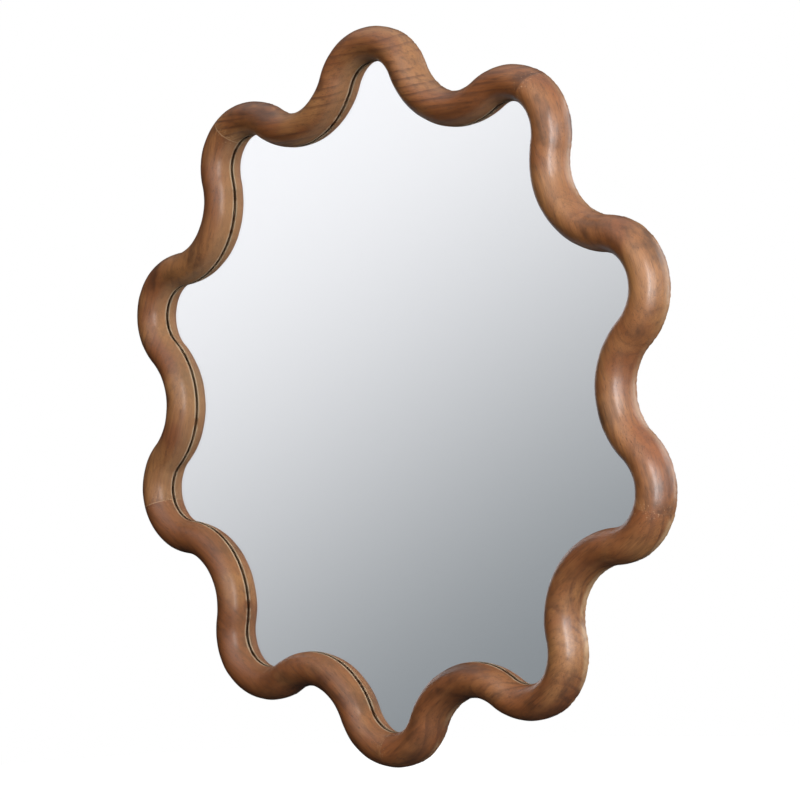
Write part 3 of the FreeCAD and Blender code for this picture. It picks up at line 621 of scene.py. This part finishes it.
# %% Colours and growth rings
GOLDEN = (0.36, 0.157, 0.05, 1)
BROWN = (0.23, 0.074, 0.019, 1)
RUSSET = (0.275, 0.087, 0.023, 1)
DARK = (0.042, 0.014, 0.004, 1)
LATE = (0.115, 0.036, 0.011, 1)
# Tan of unstained wood, also used as painted highlight and painted sheen on the edges.
TAN = (0.5, 0.31, 0.16, 1)
GLUE = (0.55, 0.34, 0.18, 1)
# The lip's edge: wear, with a painted highlight.
WORN_AND_LIT = (0.64, 0.48, 0.31, 1)
ARCH_REACH = 0.07


def moved(wood, coords, steps):
    """The same coordinates moved along, so that two noises of one board differ."""
    return wood.shifted(coords, (steps * 1.3, steps * 2.1, steps * 0.7))


def growth_rings(wood, tree, along, deep, up, heart, pitch, sway, bow):
    """Late wood: a dark line that ends each ring, fading in and out along the board. heart is the
    rings' centre in (depth, height), pitch their width, sway their waviness and bow their arch."""
    arch = (along / ARCH_REACH) ** 2
    warp = (wood.noise(tree, (3.5, 9, 9), 2.0) - 0.5) * sway + arch / (arch + 1) * bow
    ring = ((deep - heart[0]) ** 2 + (up - heart[1] + warp) ** 2) ** 0.5 / pitch
    ring = ring + wood.noise(tree, (5, 22, 22), 1.0) * 0.7
    late = ring.math("FRACT", ring)
    late = late.step(0.5, 0.94) * (1 - late.step(0.94, 1.0))
    return late * wood.noise(moved(wood, tree, 3), (7, 30, 30), 1.0).step(0.32, 0.66)


def knots(wood, along, deep, up, places):
    """Small dark knots at chosen places of (along, up, size), each with a softer halo."""
    wander = wood.noise(wood.place, (160, 160, 160), 2.0) * 0.004 - 0.002
    mask = None
    for far, high, size in places:
        off = (((along - far) * 0.6) ** 2 + (up - high) ** 2) ** 0.5 + wander
        spot = 1 - off.step(size * 0.3, size)
        mask = spot if mask is None else mask.math("MAXIMUM", mask, spot)
    return mask * (1 - deep.step(-0.034, -0.02))


print("colours ready")

# %% [markdown]
# The stain is not even at the edges. The band beside the glass is painted paler, as a painted
# highlight, and the lip's edge is lighter, partly from wear and partly as a painted highlight.
# The outer flank shows tan, unstained wood with a painted sheen, and the colour darkens along the
# back, as dirt and painted shade. At the joints a thin line of glue shows, with specks of filler
# beside it.

# %% Wear, painted light and glue
SEAM_HALF = 0.00035
LIP_BAND_WIDTH = 0.009
EDGE_WIDTH = 0.0018
FLANK_TAN_DEPTH = 0.015
DARK_BACK_DEPTH = 0.006
FILLER_REACH = 0.014


def edges_worn_and_lit(wood, colour, deep, inset, lip_band, patches, smoke, bare_and_lit, pale):
    """The colour with its edges worn and painted light. bare is how much tan the outer flank
    shows, unstained wood with a painted sheen, and pale the painted highlight beside the lip."""
    # Painted highlight: the band beside the lip is mixed towards tan, as lamp light off the mirror.
    colour = wood.mixed(lip_band * patches.step(0.1, 0.7, 0.6, 1.0) * pale, colour, TAN)
    # The lip's very edge is lightened, partly wear and partly a painted highlight.
    lip = inset.step(RAIL_HALF - EDGE_WIDTH, RAIL_HALF - EDGE_WIDTH / 3)
    lip = lip * deep.step(GLASS_FRONT - 0.0035, GLASS_FRONT)
    colour = wood.mixed(lip * patches.step(0.3, 0.55) * 0.8, colour, WORN_AND_LIT)
    # The outer flank is mixed towards tan: unstained wood, and a painted sheen from the side lamp.
    flank = (inset * -1).step(RAIL_HALF - 0.002, RAIL_HALF - 0.0005)
    flank = flank * deep.step(RAIL_BACK - FLANK_TAN_DEPTH, RAIL_BACK - 0.008)
    colour = wood.mixed(flank * (1 - smoke.step(0.42, 0.6)) * bare_and_lit, colour, TAN)
    # Darker along the back edge: dirt, and painted shade where the rail turns from the light.
    darker_back = deep.step(RAIL_BACK - DARK_BACK_DEPTH, RAIL_BACK) * patches.step(0.42, 0.65)
    return wood.mixed(darker_back * 0.6, colour, DARK)


def glued_ends(wood, colour, along, up, patches, ends):
    """The colour with its glue, and the glue line. ends is how plain it shows at either end."""
    from_seam = abs(abs(along) * math.cos(LOBE_TURN) - up * math.sin(LOBE_TURN))
    seam = 1 - from_seam.step(SEAM_HALF * 0.5, SEAM_HALF * 1.6)
    seam = seam * along.step(-0.1, 0.1, *ends)
    colour = wood.mixed(seam * patches.step(0.3, 0.5), colour, GLUE)
    filler = wood.noise(wood.place, (420, 420, 420), 1.0).step(0.64, 0.7)
    filler = filler * (1 - from_seam.step(0.002, FILLER_REACH))
    return wood.mixed(filler * 0.5, colour, GLUE), seam


print("wear ready")

# %% [markdown]
# One function makes the finish of a rail from the character of its board, so the five rails are
# kin but never alike. Noise that is stretched along the board reads as streaks and fibres, and
# noise of one size all ways as clouds of stain and smoke.

# %% Stained wood
def stained_wood(name, turn, board, rings, grain, shade, russet, bare_and_lit, pale, ends, places):
    """The finish of one rail. turn is its middle and board its own piece of the tree, with the
    growth rings' heart, pitch, sway and bow. grain is how plain the grain shows, shade how dark and
    russet how red the board is, and places where its knots are."""
    wood = Surface(f"stained_wood_{name}", Specular_IOR_Level=0.7, Coat_Roughness=0.28)
    flat = wood.node("ShaderNodeMapping", {}, {"Vector": wood.place, "Rotation": (0, -turn, 0)})
    axes = wood.node("ShaderNodeSeparateXYZ", {}, {0: flat})
    along, deep, up = (axes.part(letter) for letter in "XYZ")
    tree = wood.shifted(flat, (board, board * 0.37, board * 0.61))

    late = growth_rings(wood, tree, along, deep, up, **rings)
    streaks = wood.noise(tree, (9, 210, 210), 3.0, 0.6)
    fibres = wood.noise(tree, (45, 1500, 1500), 2.0, 0.6)
    pores = wood.noise(tree, (70, 1100, 1100), 0.0).step(0.69, 0.76)
    clouds = wood.noise(moved(wood, tree, 7), (9, 15, 15), 3.0, 0.55)
    smoke = wood.noise(moved(wood, tree, 11), (13, 21, 21), 4.0, 0.62)
    rust = wood.noise(moved(wood, tree, 17), (5, 11, 11), 2.0)
    colour = wood.mixed(clouds.step(0.36 + shade, 0.62 + shade), BROWN, GOLDEN)
    colour = wood.mixed(rust.step(0.45, 0.65) * russet, colour, RUSSET)
    colour = wood.mixed(late * grain, colour, LATE)
    colour = wood.mixed(smoke.step(0.5, 0.7) * 0.65, colour, DARK)
    colour = wood.mixed(streaks.step(0.42, 0.72) * (0.2 + 0.3 * grain), colour, DARK)
    colour = wood.mixed(fibres.step(0.45, 0.72) * 0.35, colour, DARK)
    colour = wood.mixed(pores * 0.5, colour, DARK)
    colour = wood.mixed(knots(wood, along, deep, up, places) * 0.8, colour, DARK)

    inset = wood.node("ShaderNodeAttribute", {"attribute_name": "inset"}, output="Fac")
    patches = wood.noise(wood.place, (60, 60, 60), 4.0, 0.65)
    # The band beside the glass: its colour takes the painted highlight, its lacquer is thinner.
    lip_band = inset.step(RAIL_HALF - LIP_BAND_WIDTH, RAIL_HALF - 0.0003)
    colour = edges_worn_and_lit(wood, colour, deep, inset, lip_band, patches, smoke, bare_and_lit, pale)
    colour, seam = glued_ends(wood, colour, along, up, patches, ends)

    wood.feed("Base Color", colour)
    wood.feed("Coat Weight", (1 - lip_band) * 0.85)
    wood.feed("Roughness", 0.4 + clouds * 0.2 + fibres * 0.08 + lip_band * 0.38)
    ripple = wood.noise(moved(wood, tree, 23), (28, 130, 130), 2.0)
    relief = ripple * 0.9 + fibres * 0.5 + streaks * 0.5 - late * 0.6 - pores * 1.5 - seam * 2
    wood.feed("Normal", wood.bumped(relief, 0.00012))
    return wood.owner


print("stained wood ready")

# %% [markdown]
# The boards differ in grain, colour and wear, as the rails of the real frame do, and their numbers
# are given here. The lower right one has arched rings and an unstained tan flank with a painted
# sheen, the lower left one is the darkest, partly as painted shade low on the frame, and the upper
# left one the least red. The upper left and top rails carry the most painted highlight by the lip.

# %% Five boards
# pale sets each board's painted highlight beside the lip; the flank number, its tan and painted
# sheen.
BOARDS = {
    "top": {
        "board": 1.0, "rings": {"heart": (0.05, 0.1), "pitch": 0.0095, "sway": 0.012, "bow": 0.0},
        "grain": 0.7, "shade": 0.02, "russet": 0.75, "bare_and_lit": 0.1, "pale": 0.3, "ends": (0.9, 0.1),
        "places": [(0.17, 0.395, 0.004)]},
    "upper_right": {
        "board": 4.2, "rings": {"heart": (0.09, 0.2), "pitch": 0.012, "sway": 0.04, "bow": 0.0},
        "grain": 0.32, "shade": -0.01, "russet": 0.6, "bare_and_lit": 0.28, "pale": 0.1, "ends": (0.1, 0.1),
        "places": [(-0.235, 0.415, 0.004), (-0.19, 0.44, 0.006), (-0.05, 0.36, 0.004)]},
    "lower_right": {
        "board": 8.1, "rings": {"heart": (0.05, 0.3), "pitch": 0.011, "sway": 0.015, "bow": -0.045},
        "grain": 0.6, "shade": 0.04, "russet": 0.9, "bare_and_lit": 0.9, "pale": 0.05, "ends": (0.1, 0.25),
        "places": [(0.08, 0.43, 0.004)]},
    # The darkest board, partly as painted shade low on the frame.
    "lower_left": {
        "board": 12.7, "rings": {"heart": (0.12, 0.15), "pitch": 0.012, "sway": 0.04, "bow": 0.0},
        "grain": 0.4, "shade": 0.15, "russet": 0.8, "bare_and_lit": 0.1, "pale": 0.15, "ends": (0.25, 0.75),
        "places": [(0.1, 0.41, 0.005)]},
    "upper_left": {
        "board": 17.3, "rings": {"heart": (0.07, 0.24), "pitch": 0.011, "sway": 0.03, "bow": 0.0},
        "grain": 0.45, "shade": 0.0, "russet": 0.2, "bare_and_lit": 0.1, "pale": 0.35, "ends": (0.75, 0.9),
        "places": [(0.0, 0.36, 0.005), (0.13, 0.39, 0.004)]}}

for number, name in enumerate(RAILS):
    rails[name].data.materials.clear()
    rails[name].data.materials.append(stained_wood(name, number * RAIL_TURN, **BOARDS[name]))
print("wood nodes:", len(rails["top"].data.materials[0].node_tree.nodes))

# %% [markdown]
# ## The pane
#
# Float glass of 4 mm with ground edges. Its edge is drawn as a short line with two small bevels,
# spun right round the wave and closed on both faces. The back reaches a hair into the silvering,
# because two faces in one plane would flicker.

# %% Pane
PANE_FRONT = -0.0204
PANE_BACK = -0.01645
PANE_EDGE = CREST - 0.013
ARRIS = 0.0004
PANE_STEP = math.radians(3)
PANE_CREASE = math.radians(20)

bpy.ops.object.select_all(action="DESELECT")
bpy.ops.mesh.primitive_plane_add(size=ARRIS, location=(0, PANE_FRONT, PANE_EDGE - ARRIS))
pane = bpy.context.object
bpy.ops.object.transform_apply()
bpy.ops.object.mode_set(mode="EDIT")
bpy.ops.mesh.select_all(action="SELECT")
bpy.ops.mesh.merge(type="CENTER")
draw_on([(PANE_FRONT + ARRIS, PANE_EDGE), (PANE_BACK - ARRIS, PANE_EDGE),
         (PANE_BACK, PANE_EDGE - ARRIS)], (PANE_FRONT, PANE_EDGE - ARRIS))
bpy.ops.mesh.select_all(action="SELECT")
spin_along(wave_arcs(LOBES), PANE_STEP)
recalculate()
for depth in (PANE_FRONT, PANE_BACK):
    select_points(pane, lambda co: abs(co.y - depth) < NEAR)
    bpy.ops.mesh.edge_face_add()
recalculate()
pane.name = "mirror_pane"
bpy.ops.object.shade_smooth_by_angle(angle=PANE_CREASE)
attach(pane, "frame")
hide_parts("mirror_glass")
glass = Surface("clear_glass", Base_Color=(0.985, 0.995, 0.99, 1), Roughness=0.0, IOR=1.5,
                Transmission_Weight=1.0)
pane.data.materials.append(glass.owner)
print("pane faces:", len(pane.data.polygons))

# %% [markdown]
# ## Silvering
#
# The sheet behind the glass is a mirror on its front and grey paint on its back. One finish serves
# both: the depth tells the front face from the rest, and the brush marks of the paint are noise.

# %% Silvering
def dress(node, surface):
    """Gives a ready-made solid its finish."""
    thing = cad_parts[node]
    thing.data.materials.clear()
    thing.data.materials.append(surface.owner)


SILVER_FRONT = -0.0165
SILVER = (0.965, 0.97, 0.975, 1)
PAINT = (0.2, 0.21, 0.22, 1)
PALE_PAINT = (0.3, 0.31, 0.32, 1)

silver = Surface("silvering", IOR=1.5)
depth = silver.node("ShaderNodeSeparateXYZ", {}, {0: silver.place}).part("Y")
shiny = 1 - depth.step(SILVER_FRONT + 0.00002, SILVER_FRONT + 0.00006)
brush = silver.noise(silver.place, (40, 40, 900), 2.0)
painted = silver.mixed(brush, PAINT, PALE_PAINT)
silver.feed("Base Color", silver.mixed(shiny, painted, SILVER))
silver.feed("Metallic", shiny)
silver.feed("Roughness", (1 - shiny) * 0.6)
dress("silver_backing", silver)
print("silvering dressed")

# %% [markdown]
# ## Finishes behind the mirror
#
# The back is plain: a brown fibreboard panel, zinc plated hardware and black rubber bumpers. Inside
# there are beech dowels, foam pads and rubber spacers. Each gets the marks of its own making. The
# panel is pressed from fibres, so it has soft mottling, dark flecks and short pale lint.

# %% Fibreboard
board = Surface("fibreboard", Specular_IOR_Level=0.25)
mottle = board.noise(board.place, (30, 30, 30), 4.0, 0.65)
flecks = board.noise(board.place, (700, 700, 700), 2.0, 0.7)
lint = board.noise(board.place, (1500, 1500, 260), 1.0)
tone = board.mixed(mottle, (0.3, 0.185, 0.1, 1), (0.4, 0.26, 0.15, 1))
tone = board.mixed(flecks.step(0.52, 0.72) * 0.5, tone, (0.16, 0.09, 0.05, 1))
tone = board.mixed(lint.step(0.6, 0.8) * 0.4, tone, (0.6, 0.45, 0.3, 1))
board.feed("Base Color", tone)
board.feed("Roughness", 0.75 + flecks * 0.2)
board.feed("Normal", board.bumped(flecks + lint * 0.5, 0.0001))
dress("back_panel", board)
print("panel dressed")

# %% [markdown]
# Screws, straps and rings are steel with a thin coat of zinc, which is cloudy and finely scratched.
# Rubber and foam differ in their grey and in the size of their cells, so one function makes both.

# %% Hardware
def plated(name, colour, rough):
    """Zinc plate: faint clouds in the colour, and fine scratches that catch the light."""
    zinc = Surface(name, Metallic=1.0)
    clouds = zinc.noise(zinc.place, (260, 260, 260), 3.0)
    scratches = zinc.noise(zinc.place, (500, 500, 6000), 2.0)
    darker = tuple(part * 0.78 for part in colour) + (1,)
    zinc.feed("Base Color", zinc.mixed(clouds.step(0.35, 0.65), darker, colour + (1,)))
    zinc.feed("Roughness", rough + clouds * 0.16 + scratches * 0.12)
    zinc.feed("Normal", zinc.bumped(scratches, 0.00002))
    return zinc


def rubber(name, colour, cells):
    """Matt rubber or foam: dust in the colour and a skin of small cells."""
    skin = Surface(name, Specular_IOR_Level=0.3)
    dust = skin.noise(skin.place, (90, 90, 90), 4.0, 0.6)
    grains = skin.noise(skin.place, (cells, cells, cells), 2.0)
    lighter = tuple(min(1.0, part * 2.2) for part in colour) + (1,)
    skin.feed("Base Color", skin.mixed(dust.step(0.45, 0.8) * 0.5, colour + (1,), lighter))
    skin.feed("Roughness", 0.6 + grains * 0.3)
    skin.feed("Normal", skin.bumped(grains, 0.00008))
    return skin


screw_zinc = plated("zinc_screws", colour=(0.62, 0.6, 0.55), rough=0.22)
strap_zinc = plated("strap_steel", colour=(0.66, 0.65, 0.62), rough=0.28)
ring_zinc = plated("ring_steel", colour=(0.68, 0.67, 0.64), rough=0.16)
for node in ("panel_screws", "bumper_screws", "hanger_screws"):
    dress(node, screw_zinc)
for side in ("left", "right"):
    dress(f"hanger_strap_{side}", strap_zinc)
    dress(f"d_ring_{side}", ring_zinc)
bumper_rubber = rubber("bumper_rubber", colour=(0.03, 0.03, 0.03), cells=900)
for name in RAILS:
    dress(f"bumper_{name}", bumper_rubber)
dress("glass_spacers", rubber("spacer_rubber", colour=(0.04, 0.04, 0.042), cells=1200))
dress("foam_pads", rubber("foam", colour=(0.13, 0.13, 0.14), cells=1600))
print("hardware dressed")

# %% [markdown]
# The dowels are turned from pale beech. Fine streaks stand for the flutes that hold their glue, and
# small dark flecks for the rays of the wood.

# %% Dowels
beech = Surface("dowel_wood", Roughness=0.7)
rays = beech.noise(beech.place, (900, 900, 900), 2.0)
flutes = beech.noise(beech.place, (120, 120, 2500), 2.0)
pale_wood = beech.mixed(flutes, (0.62, 0.42, 0.25, 1), (0.74, 0.55, 0.36, 1))
beech.feed("Base Color",
           beech.mixed(rays.step(0.58, 0.7) * 0.5, pale_wood, (0.42, 0.26, 0.14, 1)))
beech.feed("Normal", beech.bumped(flutes, 0.0001))
dress("joint_dowels", beech)
print("dowels dressed")
